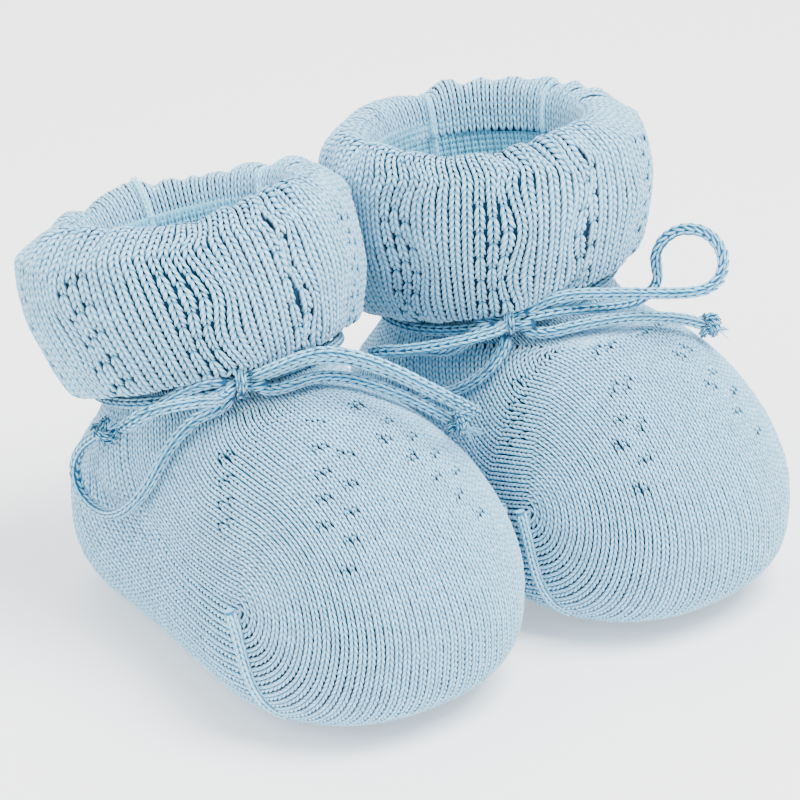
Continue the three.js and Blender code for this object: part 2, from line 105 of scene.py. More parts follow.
def through_knots(knots, x):
    """A smooth curve through [x, value] knots."""
    kx, ky = knots[:, 0], knots[:, 1]
    step, slope = np.diff(kx), np.diff(ky) / np.diff(kx)
    tangent = np.concatenate([
        slope[:1],
        (slope[:-1] * step[1:] + slope[1:] * step[:-1]) / (step[1:] + step[:-1]),
        slope[-1:],
    ])
    x = np.clip(x, kx[0], kx[-1])
    i = np.clip(np.searchsorted(kx, x, side="right") - 1, 0, len(kx) - 2)
    w = step[i]
    t = (x - kx[i]) / w
    return ((2 * t**3 - 3 * t**2 + 1) * ky[i] + (t**3 - 2 * t**2 + t) * w * tangent[i]
            + (3 * t**2 - 2 * t**3) * ky[i + 1] + (t**3 - t**2) * w * tangent[i + 1])


def foot_distance(p):
    x, y, z = p[..., 0], p[..., 1], p[..., 2]
    half = through_knots(HALF_WIDTH, y / FOOT_LENGTH) * FOOT_WIDTH / 2
    top = through_knots(TOP, y / FOOT_LENGTH) * INSTEP_HEIGHT
    endward = np.maximum((TOE_START_Y - y) / (TOE_START_Y - TOE_Y), 0)
    endward = np.maximum(endward, (y - HEEL_START_Y) / (HEEL_Y - HEEL_START_Y))
    upper = z >= WIDEST_Z
    rise = np.where(upper, (z - WIDEST_Z) / (top - WIDEST_Z), (WIDEST_Z - z) / (WIDEST_Z + SOLE_DIP))
    power = np.where(upper, TOP_ROUNDNESS, SOLE_ROUNDNESS)
    plan = ((np.abs(x) / half)**SIDE_ROUNDNESS + endward**SIDE_ROUNDNESS)**(1 / SIDE_ROUNDNESS)
    return ((plan**power + rise**power)**(1 / power) - 1) * FIELD_SCALE


def leg_axis(boot, z):
    back, side = np.tan(np.radians(boot["lean"]))
    rise = z - LEG_REFERENCE_Z
    return boot["leg_x"] + side * rise, boot["leg_y"] + back * rise


def body_distance(boot, p):
    foot = foot_distance(p)
    ax, ay = leg_axis(boot, p[..., 2])
    leg = (np.hypot(p[..., 0] - ax, p[..., 1] - ay) - through_knots(LEG_PROFILE, p[..., 2] / INSTEP_HEIGHT)
           + np.maximum(0, LEG_FADE_Z - p[..., 2]))
    near = np.maximum(BLEND - np.abs(foot - leg), 0) / BLEND
    return np.maximum(np.minimum(foot, leg) - near * near * BLEND / 4, -p[..., 2])


def body_normal(boot, p, step=0.05):
    return unit(np.stack([body_distance(boot, p + step * e) - body_distance(boot, p - step * e)
                          for e in np.eye(3)], -1))


def cast(boot, centre, direction):
    """The surface point met first on the way out from each centre."""
    centre, direction = np.broadcast_arrays(centre, direction)
    stride = 1.5
    inner = np.zeros(direction.shape[:-1])
    going = np.ones(inner.shape, bool)
    for _ in range(60):
        ahead = body_distance(boot, centre + direction * (inner + stride)[..., None]) < 0
        going &= ahead
        if not going.any():
            break
        inner = np.where(going, inner + stride, inner)
    outer = inner + stride
    for _ in range(22):
        middle = (inner + outer) / 2
        inside = body_distance(boot, centre + direction * middle[..., None]) < 0
        inner, outer = np.where(inside, middle, inner), np.where(inside, outer, middle)
    return centre + direction * outer[..., None]


def front_direction(degrees):
    a = np.radians(degrees)
    return np.array([0.0, -math.cos(a), math.sin(a)])


def tilted_frame(back, side):
    up = unit(np.array([math.tan(math.radians(side)), math.tan(math.radians(back)), 1.0]))
    across = unit(X_AXIS - up * up[0])
    return up, across, np.cross(across, up)


def along_leg(boot, above):
    x, y = leg_axis(boot, boot["ankle"])
    return np.array([x, y, boot["ankle"]]) + tilted_frame(*boot["lean"])[0] * above


def ring_planes(boot, leg=4, heel=40, instep=20):
    """Centre and front direction of each full ring, from the ankle down to the start of the toe."""
    lean = boot["lean"][0]
    x, y = leg_axis(boot, boot["ankle"])
    ankle = np.array([x, y, boot["ankle"]])
    up = np.array([0, math.sin(math.radians(lean)), math.cos(math.radians(lean))])
    front = front_direction(lean)
    planes = [(ankle + up * h, front)
              for h in np.linspace(SHELL_ABOVE_CORD, -HEEL_TURN_BELOW_CORD, leg)]
    radius = ANKLE_RADIUS + CREASE_STANDOFF
    pivot = planes[-1][0] + front * radius
    for i in range(1, heel + 1):
        turn = front_direction(lean + (90 - lean) * i / heel)
        centre = pivot - turn * radius
        centre[0] = pivot[0] * (1 - i / heel)
        planes.append((centre, turn))
    heel_end = planes[-1][0]
    for i in range(1, instep + 1):
        t = i / instep
        planes.append((heel_end * (1 - t) + TOE_POLE * t, front_direction(90 + (TOE_SEAM_ANGLE - 90) * t)))
    return planes


def cast_row(boot, centre, front, degrees, across=X_AXIS):
    a = np.radians(degrees)[:, None]
    return cast(boot, centre, front * np.cos(a) + across * np.sin(a))


def even(row, count):
    """The row again, as count + 1 points at equal distances."""
    s = np.concatenate([[0], np.cumsum(np.linalg.norm(np.diff(row, axis=0), axis=1))])
    at = np.linspace(0, s[-1], count + 1)
    return np.stack([np.interp(at, s, row[:, k]) for k in range(3)], -1)


# ---- Meshes -------------------------------------------------------------------------------------

class Skin:
    """Gathers points and faces, then becomes one Blender mesh."""

    def __init__(self):
        self.points, self.faces, self.depth, self.tone, self.uv, self.slots = [], [], [], [], [], []
        self.count = 0

    def add(self, points, faces, depth, uv, tone=0.5, slot=0):
        points = np.asarray(points, float).reshape(-1, 3)
        faces = np.asarray(faces, int)
        self.faces.append(faces + self.count)
        self.slots.append(np.full(len(faces), slot))
        self.points.append(points)
        self.depth.append(np.broadcast_to(depth, len(points)))
        self.tone.append(np.broadcast_to(tone, len(points)))
        self.uv.append(np.asarray(uv, float).reshape(-1, 2))
        self.count += len(points)

    def build(self, name, boot, materials, floor=False):
        points = np.concatenate(self.points)
        if floor:
            points[:, 2] = np.maximum(points[:, 2], 0.02)
        points = (points + boot["origin"]) * MM
        corners = np.concatenate([f.ravel() for f in self.faces])
        sizes = np.concatenate([np.full(len(f), f.shape[1]) for f in self.faces])
        me = bpy.data.meshes.new(name)
        me.vertices.add(len(points))
        me.vertices.foreach_set("co", points.astype(np.float32).ravel())
        me.loops.add(len(corners))
        me.loops.foreach_set("vertex_index", corners.astype(np.int32))
        me.polygons.add(len(sizes))
        me.polygons.foreach_set("loop_start", np.concatenate([[0], np.cumsum(sizes)[:-1]]).astype(np.int32))
        me.polygons.foreach_set("material_index", np.concatenate(self.slots).astype(np.int32))
        me.update(calc_edges=True)
        me.shade_smooth()
        for key, data in (("depth", self.depth), ("tone", self.tone)):
            me.attributes.new(key, "FLOAT", "POINT").data.foreach_set(
                "value", np.concatenate(data).astype(np.float32))
        uv = np.concatenate(self.uv)[corners]
        me.uv_layers.new(name="OFBake").data.foreach_set("uv", uv.astype(np.float32).ravel())
        for material in materials:
            me.materials.append(material)
        ob = bpy.data.objects.new(f"{boot['name']}_{name}", me)
        bpy.context.scene.collection.objects.link(ob)
        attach(ob, f"{boot['name']}_bootie")
        return ob


def grid_faces(rows, columns, wrap=False):
    """Quads of a grid of points, row by row."""
    i, j = np.meshgrid(np.arange(rows - 1), np.arange(columns if wrap else columns - 1), indexing="ij")
    i, j, k = i.ravel(), j.ravel(), (j.ravel() + 1) % columns
    return np.stack([i * columns + j, (i + 1) * columns + j, (i + 1) * columns + k, i * columns + k], -1)


def leg_template(sections=5, sides=4):
    """One knitted stitch: two plump legs of a V, in units of the wale, the course and the wale."""
    points, faces = [], []
    for side in (-1, 1):
        base = len(points)
        for i in range(sections):
            t = i / (sections - 1)
            swell = math.sin(math.pi * (0.12 + 0.76 * t))
            middle = np.array([side * (0.08 + 0.31 * t), -0.38 + 1.72 * t, -0.17 + 0.24 * swell])
            half_width, half_height = 0.05 + 0.115 * swell, 0.05 + 0.125 * swell
            for j in range(sides):
                a = 2 * math.pi * (j + 0.5) / sides
                points.append(middle + [half_width * 1.25 * math.cos(a), 0, half_height * 1.25 * math.sin(a)])
        for i in range(sections - 1):
            for j in range(sides):
                k = (j + 1) % sides
                faces.append([base + i * sides + j, base + i * sides + k,
                              base + (i + 1) * sides + k, base + (i + 1) * sides + j])
        faces.append([base + j for j in range(sides)][::-1])
        faces.append([base + (sections - 1) * sides + j for j in range(sides)])
    return np.array(points), np.array(faces)


STITCH_POINTS, STITCH_FACES = leg_template()


def knit(skin, grid, course, outward=1, lift=0.0, size=None, band=(0, 1), slot=0, plump=1.0,
         boot=None):
    """Covers a grid with stitches. Its columns are the lines between wales; a wale's stitches
    are a course apart along it, so a short wale has fewer of them."""
    wales = grid.shape[1] - 1
    sets = []
    for c in range(wales):
        line = (grid[:, c] + grid[:, c + 1]) / 2
        across = grid[:, c + 1] - grid[:, c]
        s = np.concatenate([[0], np.cumsum(np.linalg.norm(np.diff(line, axis=0), axis=1))])
        n = max(int(round(s[-1] / course)), 1)
        at = (np.arange(n) + 0.5) * s[-1] / n
        ahead, behind = np.minimum(at + 0.5 * course, s[-1]), np.maximum(at - 0.5 * course, 0)
        pick = lambda q, v: np.stack([np.interp(q, s, v[:, k]) for k in range(3)], -1)
        sets.append((pick(at, line), pick(at, across), unit(pick(ahead, line) - pick(behind, line)),
                     np.full(n, s[-1] / n), np.full(n, c), at))
    centre, across, along, pitch, column, at = (np.concatenate(v) for v in zip(*sets))
    normal = unit(np.cross(across, along)) * outward if boot is None else body_normal(boot, centre)
    width = np.linalg.norm(across, axis=1)
    share = np.ones(len(at)) if size is None else size(column, at)
    n = len(centre)
    jitter = RNG.normal(0, 1, (n, 3))
    scale = (width * share)[:, None, None] * (1 + 0.04 * jitter[:, :1, None])
    t = STITCH_POINTS
    height = np.clip(width, 0.9, 1.9)[:, None, None] * plump
    points = (centre[:, None] + normal[:, None] * (lift + 0.03 * jitter[:, 1:2, None] - 0.7 * (1 - share)[:, None, None])
              + unit(across)[:, None] * t[None, :, :1] * scale
              + along[:, None] * t[None, :, 1:2] * (pitch * share)[:, None, None]
              + normal[:, None] * t[None, :, 2:] * height)
    faces = (STITCH_FACES[None] + (np.arange(n) * len(t))[:, None, None]).reshape(-1, 4)
    # Each point's height within its stitch: the cotton materials paint shade where it is low, between the yarns, and
    # light where it is high, on the crests.
    depth = np.tile(np.clip((t[:, 2] + 0.2) / 0.45, 0, 1), n)
    tone = np.repeat(np.clip(0.5 + 0.16 * jitter[:, 2], 0, 1), len(t))
    u = (column[:, None] + 0.5 + 0.9 * t[None, :, 0]) / wales
    longest = at.max() + course
    v = (at[:, None] + pitch[:, None] * (0.5 + 0.6 * (t[None, :, 1] - 0.5))) / longest
    v = band[0] + (band[1] - band[0]) * np.clip(v, 0, 1)
    skin.add(points, faces, depth, np.stack([u, v], -1), tone, slot)


def shade_sheet(skin, rows, inward, depth, band, slot, wrap=True, outward=1):
    """A plain skin under the stitches, on a grid of points, `inward` behind it; its only use gives it the dark
    sheet's colour, painted shade seen between the stitches.
    """
    r, c = rows.shape[:2]
    ahead = np.roll(rows, -1, 1) - np.roll(rows, 1, 1)
    down = np.gradient(rows, axis=0)
    normal = unit(np.cross(ahead, down)) * outward
    u, v = np.meshgrid(np.linspace(0, 1, c), np.linspace(*band, r))
    skin.add(rows - normal * inward, grid_faces(r, c, wrap), depth, np.stack([u, v], -1), 0.5, slot)


# ---- Materials ----------------------------------------------------------------------------------

def cotton(name, lit_crest, middle, shaded_gap, sheen=0.35):
    """Cotton yarn: painted light on its crests, painted shade deep in the gaps, with a little hair and uneven dye."""
    m = bpy.data.materials.new(name)
    m.use_nodes = True
    nt = m.node_tree
    nt.nodes.clear()
    node = nt.nodes.new
    link = nt.links.new
    out, bsdf = node("ShaderNodeOutputMaterial"), node("ShaderNodeBsdfPrincipled")
    bsdf.inputs["Roughness"].default_value = 0.88
    bsdf.inputs["Sheen Weight"].default_value = sheen
    bsdf.inputs["Sheen Roughness"].default_value = 0.5
    bsdf.inputs["Specular IOR Level"].default_value = 0.25
    link(bsdf.outputs[0], out.inputs[0])
    depth, tone = node("ShaderNodeAttribute"), node("ShaderNodeAttribute")
    depth.attribute_name, tone.attribute_name = "depth", "tone"
    # Painted shade and light: points low in their stitch, between the yarns, take the dark colour of the gaps, points
    # high on a yarn's crest the light one.
    shade_ramp = node("ShaderNodeValToRGB")
    shade_ramp.color_ramp.interpolation = "EASE"
    shade_ramp.color_ramp.elements[0].color = (*shaded_gap, 1)
    shade_ramp.color_ramp.elements[0].position = 0.33
    shade_ramp.color_ramp.elements[1].color = (*lit_crest, 1)
    shade_ramp.color_ramp.elements[1].position = 0.9
    shade_ramp.color_ramp.elements.new(0.68).color = (*middle, 1)
    link(depth.outputs["Fac"], shade_ramp.inputs[0])
    coords = node("ShaderNodeTexCoord")
    dye, hair = node("ShaderNodeTexNoise"), node("ShaderNodeTexNoise")
    dye.inputs["Scale"].default_value = 90
    dye.inputs["Detail"].default_value = 3
    hair.inputs["Scale"].default_value = 4200
    hair.inputs["Detail"].default_value = 4
    for n in (dye, hair):
        link(coords.outputs["Object"], n.inputs["Vector"])
    total = node("ShaderNodeMath")
    total.operation = "MULTIPLY_ADD"
    link(dye.outputs["Fac"], total.inputs[0])
    total.inputs[1].default_value = 0.35
    link(tone.outputs["Fac"], total.inputs[2])
    fleck = node("ShaderNodeMath")
    fleck.operation = "MULTIPLY_ADD"
    link(hair.outputs["Fac"], fleck.inputs[0])
    fleck.inputs[1].default_value = 0.5
    link(total.outputs[0], fleck.inputs[2])
    shade = node("ShaderNodeMapRange")
    shade.inputs["From Min"].default_value = 0.5
    shade.inputs["From Max"].default_value = 1.35
    shade.inputs["To Min"].default_value = 0.84
    shade.inputs["To Max"].default_value = 1.14
    link(fleck.outputs[0], shade.inputs["Value"])
    colour = node("ShaderNodeVectorMath")
    colour.operation = "SCALE"
    link(shade_ramp.outputs[0], colour.inputs[0])
    link(shade.outputs[0], colour.inputs["Scale"])
    link(colour.outputs[0], bsdf.inputs["Base Color"])
    bump = node("ShaderNodeBump")
    bump.inputs["Strength"].default_value = 0.35
    bump.inputs["Distance"].default_value = 0.0001
    link(hair.outputs["Fac"], bump.inputs["Height"])
    link(bump.outputs[0], bsdf.inputs["Normal"])
    return m


# Each yarn's colours: painted light on the crests, its middle tone, painted shade in the gaps.
KNIT = cotton("cotton_knit", (0.37, 0.66, 0.86), (0.09, 0.37, 0.58), (0.002, 0.055, 0.12))
CUFF_KNIT = cotton("cotton_cuff", (0.38, 0.67, 0.86), (0.11, 0.39, 0.60), (0.002, 0.06, 0.14))
LINING = cotton("cotton_lining", (0.52, 0.86, 0.97), (0.42, 0.79, 0.95), (0.14, 0.50, 0.70))
SEAM_YARN = cotton("cotton_seam", (0.44, 0.76, 0.92), (0.22, 0.56, 0.78), (0.02, 0.18, 0.32))
CORD_YARN = cotton("cotton_cord", (0.28, 0.62, 0.83), (0.06, 0.34, 0.56), (0.002, 0.07, 0.16))
# A near-black teal sheet under the stitches: painted shade showing in the gaps between them and in the lace holes.
SHADE_SHEET = cotton("cotton_shade_sheet", (0.02, 0.14, 0.25), (0.01, 0.09, 0.18), (0.002, 0.035, 0.08), 0.05)

# ---- Foot ---------------------------------------------------------------------------------------

COURSE = 1.08
VAMP_WALES = 54
SOLE_WALES = 42
TOE_ROWS = 60


def eyelets(column, at):
    """Size of each stitch: small ones leave the holes of the vamp's lace, in lines that open
    towards the toe."""
    off = np.abs(column - (VAMP_WALES - 1) / 2)
    row = at / COURSE
    holes = np.zeros(len(at), bool)
    for start, first, count in ((14, 3, 9), (22, 3, 9), (14, 13, 8)):
        j = np.round((off - first) / 1.0)
        line = start + 2.6 * j
        holes |= (j >= 0) & (j < count) & (j % 2 == 0) & (np.abs(row - line) < 0.55) & (np.abs(off - first - j) < 0.6)
    return np.where(holes, 0.68, 1.0)


def make_foot(boot):
    planes = ring_planes(boot)
    front_turn, back_turn = np.linspace(-90, 90, 121), np.linspace(90, 270, 101)
    vamp = [even(cast_row(boot, c, f, front_turn), VAMP_WALES) for c, f in planes]
    sole = [even(cast_row(boot, c, f, back_turn), SOLE_WALES) for c, f in planes]
    centre = planes[-1][0]
    for i in range(1, TOE_ROWS + 1):
        front = front_direction(TOE_SEAM_ANGLE - 180 * i / TOE_ROWS)
        vamp.append(even(cast_row(boot, centre, front, front_turn), VAMP_WALES))
    vamp, sole = np.array(vamp), np.array(sole)
    skin = Skin()
    for grid, size, band in ((vamp, eyelets, (0, 0.55)), (sole, None, (0.55, 0.85))):
        knit(skin, grid, COURSE, lift=-0.3, size=size, band=band, boot=boot)
    rings = np.array([cast_row(boot, c, f, np.arange(96) * 3.75 - 180) for c, f in planes])
    # Slot 1 is the dark sheet just under the stitches, painted shade between them; slot 2 is the lining, a fabric's
    # width in.
    for depth, inset, slot in ((0.3, 0.72, 1), (0.8, FABRIC, 2)):
        inner = rings - body_normal(boot, rings) * inset
        u, v = np.meshgrid(np.linspace(0, 1, 96), np.linspace(0.86, 0.92, len(planes)))
        skin.add(inner, grid_faces(len(planes), 96, True), depth, np.stack([u, v], -1), 0.5, slot)
        cap = vamp[len(planes) - 1:]
        cap = cap - body_normal(boot, cap) * inset
        u, v = np.meshgrid(np.linspace(0, 1, VAMP_WALES + 1), np.linspace(0.93, 0.99, len(cap)))
        skin.add(cap, grid_faces(len(cap), VAMP_WALES + 1), depth, np.stack([u, v], -1), 0.5, slot)
    ob = skin.build("foot_knit", boot, [KNIT, SHADE_SHEET, LINING], floor=True)
    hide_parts(f"{boot['name']}_foot_shell")
    return ob


# ---- Leg and cuff -------------------------------------------------------------------------------

CUFF_WALES = 82
CUFF_COURSE = 1.25
LACE_COLUMNS = 10
EDGE_DROP = 5.0
LINING_SEAMS = (98, 166)  # degrees round from the front


def cuff_profile():
    """Radius, share of height and offset along the cuff, from the lining over the rim to the edge."""
    mouth = LEG_RADIUS - FABRIC
    bulge = lambda share: CUFF_EDGE_RADIUS + (CUFF_BULGE_RADIUS - CUFF_EDGE_RADIUS) * share
    knots = np.array([
        [mouth - 0.1, 1, -8], [mouth, 1, -5.5], [mouth + 0.3, 1, -3], [mouth + 1.3, 1, -0.6],
        [mouth + 3.2, 1, 0.5], [mouth + 5.4, 1, 0.2], [CUFF_EDGE_RADIUS + 1.8, 1, -1.8],
        [bulge(0.8), 0.84, 0], [bulge(1), 0.64, 0], [bulge(0.95), 0.44, 0], [bulge(0.62), 0.24, 0],
        [bulge(0.26), 0.08, 0], [CUFF_EDGE_RADIUS - 0.3, 0, 0.3], [CUFF_EDGE_RADIUS - 2.2, 0, 1.4],
    ])
    t = np.arange(len(knots), dtype=float)
    fine = np.linspace(0, len(knots) - 1, 90)
    return np.stack([through_knots(np.stack([t, knots[:, k]], -1), fine) for k in range(3)], -1), fine


def cuff_surface(boot, theta):
    """The cuff's grid at angles theta, with its lace columns, puckered rim and soft bulges."""
    profile, fine = cuff_profile()
    low_up, low_across, low_front = tilted_frame(*boot["edge"])
    high_up, high_across, high_front = tilted_frame(*boot["rim"])
    low_c, high_c = along_leg(boot, CUFF_ABOVE_CORD), along_leg(boot, CUFF_ABOVE_CORD + boot["cuff"])
    radius, share, offset = (profile[:, k][:, None] for k in range(3))
    q = fine[:, None]
    outside = 1 / (1 + np.exp(-(q - 5.5) * 2))
    rim = np.exp(-((q - 4.6) / 1.5)**2)
    phase = boot["outside"] * 0.7
    th = theta[None, :]
    pitch = 2 * np.pi / LACE_COLUMNS
    away = (th + 0.15 * np.sin(3 * th + phase)) / pitch
    index = np.round(away)
    off = (away - index) * pitch * 26
    wave = np.sin(2.1 * q + 1.7 * index)
    lace = np.exp(-(off / 3.0)**2) * outside
    shift = 0.9 * lace * wave
    groove = -0.75 * np.exp(-((off - 1.3 * wave) / 1.1)**2) + 0.55 * np.exp(-((np.abs(off + 0.6 * wave) - 2.6) / 1.2)**2)
    groove = groove * outside * (0.45 + 0.3 * np.cos(4.2 * q + index))
    puffs = np.abs(np.sin(9.5 * th + 1.5 * np.sin(3 * th + phase) + 0.9 * np.sin(5 * th)))**0.7 - 0.6
    puffs = puffs * (0.9 + 0.5 * np.sin(4 * th + 2.1 + phase))
    soft = outside * (0.45 * np.sin(2 * th + phase) + 0.4 * np.sin(5 * th + 2 * phase + 0.3 * q)
                      + 0.35 * np.sin(9 * th + 0.5 * q))
    outer_side = np.sin(th) * boot["outside"]
    radius = radius + groove + soft + rim * puffs * 1.6 + outside * (0.6 + 1.5 * np.maximum(outer_side, 0))
    radius = np.minimum(radius, CUFF_BULGE_RADIUS + 0.1 + 4 * (1 + outer_side))
    offset = offset + rim * (2.3 * puffs + 0.6 * np.sin(3 * th + phase) + 0.5 * np.sin(4 * th + 1))
    away_from_knot = 0.5 - 0.5 * np.cos(th - math.radians(boot["knot"]))
    offset = offset - (1.6 + EDGE_DROP * away_from_knot**2) * (1 - share)**2
    angle = th + shift / 27 + 0.14 * boot["outside"] * (share - 0.5) * outside
    mix = lambda a, b: a + (b - a) * share[..., None]
    front, across = unit(mix(low_front, high_front)), unit(mix(low_across, high_across))
    return (mix(low_c, high_c) + mix(low_up, high_up) * offset[..., None]
            + front * (radius * np.cos(angle))[..., None] + across * (radius * np.sin(angle))[..., None])


def cuff_lace(column, at):
    """Size of each stitch: small ones leave the holes of the cuff's lace columns."""
    theta = 2 * np.pi * (column + 0.5) / CUFF_WALES
    away = theta / (2 * np.pi / LACE_COLUMNS)
    off = np.abs(away - np.round(away)) * CUFF_WALES / LACE_COLUMNS
    row = np.round(at / CUFF_COURSE).astype(int)
    return np.where((off < 1.3) & (row % 4 == (column % 2) * 2) & (at > 20), 0.68, 1.0)


def make_cuff(boot):
    grid = cuff_surface(boot, np.linspace(0, 2 * np.pi, CUFF_WALES + 1))
    skin = Skin()
    knit(skin, grid, CUFF_COURSE, outward=-1, lift=-0.25, size=cuff_lace, band=(0, 0.85))
    theta = np.arange(180) * 2 * np.pi / 180
    # The dark sheet under the cuff's stitches: painted shade in the gaps and the lace holes.
    shade_sheet(skin, cuff_surface(boot, theta), 0.6, 0.3, (0.89, 0.99), 1, outward=-1)
    for k, degrees in enumerate(LINING_SEAMS):
        line = cuff_surface(boot, np.radians([degrees - 1, degrees, degrees + 1]))[2:30]
        inward = unit(np.cross(line[:, 2] - line[:, 0], np.gradient(line[:, 1], axis=0)))
        cord_mesh(skin, line[:, 1] - inward * 0.35, 1.5, wales=3, course=1.0,
                  band=(0.86 + 0.01 * k, 0.87 + 0.01 * k), slot=2)
    ob = skin.build("cuff_knit", boot, [CUFF_KNIT, SHADE_SHEET, LINING])
    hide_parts(f"{boot['name']}_turned_cuff")
    return ob


def make_leg(boot):
    top = CUFF_ABOVE_CORD + boot["cuff"] - 4
    up, across, front = tilted_frame(*boot["rim"])
    rows = []
    turns = np.linspace(-180, 180, 121)
    for t in np.linspace(0, 1, 24):
        f = unit(front_direction(boot["lean"][0]) * (1 - t) + front * t)
        a = unit(X_AXIS * (1 - t) + across * t)
        rows.append(even(cast_row(boot, along_leg(boot, SHELL_ABOVE_CORD + (top - SHELL_ABOVE_CORD) * t),
                                  f, turns, a), 84))
    outer = np.array(rows)
    inner = outer - body_normal(boot, outer) * FABRIC
    skin = Skin()
    knit(skin, outer[:8][::-1], COURSE, outward=1, lift=-0.3, band=(0, 0.3))
    knit(skin, inner[::-1], COURSE, outward=-1, lift=0.0, band=(0.3, 0.85), slot=2, plump=0.7)
    for k, degrees in enumerate(LINING_SEAMS):
        line = inner[::-1, round((degrees + 180) / 360 * 84)]
        cord_mesh(skin, line, 1.5, wales=3, course=1.0, band=(0.85, 0.855 + 0.005 * k), slot=2)
    # The dark sheet under the leg's stitches, painted shade between them, then the lining further in.
    for rows, inset, slot, depth in ((outer, 0.72, 1, 0.3), (outer, FABRIC - 0.35, 2, 0.45)):
        shell = rows - body_normal(boot, rows) * inset
        u, v = np.meshgrid(np.linspace(0, 1, 85), np.linspace(0.86, 0.99, len(shell)))
        skin.add(shell, grid_faces(len(shell), 85), depth, np.stack([u, v], -1), 0.5, slot)
    ob = skin.build("leg_knit", boot, [KNIT, SHADE_SHEET, LINING])
    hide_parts(f"{boot['name']}_leg_tube")
    return ob


# ---- Cords --------------------------------------------------------------------------------------

def smooth_path(points, step=0.5):
    """A clamped cubic B-spline through its end points, drawn along by the rest."""
    points = np.asarray(points, float)
    n = len(points)
    knots = np.clip(np.arange(n + 4) - 3, 0, n - 3).astype(float)
    count = max(int(np.linalg.norm(np.diff(points, axis=0), axis=1).sum() / step), 8)
    t = np.linspace(0, n - 3, count + 1)[:, None]
    basis = ((t >= knots[:-1]) & (t < knots[1:])).astype(float)
    basis[-1] = 0
    basis[-1, n - 1] = 1
    for d in range(1, 4):
        a, b = knots[d:-1] - knots[:-d - 1], knots[d + 1:] - knots[1:-d]
        left = np.where(a > 0, (t - knots[:-d - 1]) / np.where(a > 0, a, 1), 0) * basis[:, :-1]
        right = np.where(b > 0, (knots[d + 1:] - t) / np.where(b > 0, b, 1), 0) * basis[:, 1:]
        basis = left + right
    basis[-1] = 0
    basis[-1, n - 1] = 1
    return basis @ points


def tube_grid(path, radius, columns, wrap=False):
    """Points round a path, on a frame carried along it without twist."""
    tangent = unit(np.gradient(path, axis=0))
    side = np.cross(tangent[0], [0.3, 0.2, 1.0])
    sides = []
    for t in tangent:
        side = unit(side - t * (side @ t))
        sides.append(side)
    sides = np.array(sides)
    other = np.cross(tangent, sides)
    a = np.linspace(0, 2 * np.pi, columns + (0 if wrap else 1), endpoint=not wrap)
    radius = np.broadcast_to(radius, len(path))[:, None, None]
    return (path[:, None] + radius * (sides[:, None] * np.cos(a)[None, :, None]
                                      + other[:, None] * np.sin(a)[None, :, None]))


def cord_mesh(skin, path, diameter, wales=4, course=1.7, band=(0, 1), slot=0):
    """A knitted cord: wales of stitches round a core that is painted shade between them, with its ends closed."""
    knit(skin, tube_grid(path, 0.41 * diameter, wales), course, outward=1,
         band=(band[0], band[0] + 0.85 * (band[1] - band[0])), plump=0.85, slot=slot)
    # The core, just under the stitches, takes the darkest yarn colour: painted shade between them.
    core = tube_grid(path, 0.37 * diameter, 12, wrap=True)
    u, v = np.meshgrid(np.linspace(0, 1, 12), np.linspace(band[0] + 0.87 * (band[1] - band[0]), band[1], len(core)))
    skin.add(core, grid_faces(len(core), 12, True), 0.25, np.stack([u, v], -1), 0.5, slot)
    for end in (core[0], core[-1]):
        skin.add(end, [list(range(12))], 0.7, np.full((12, 2), band[1]), 0.5, slot)


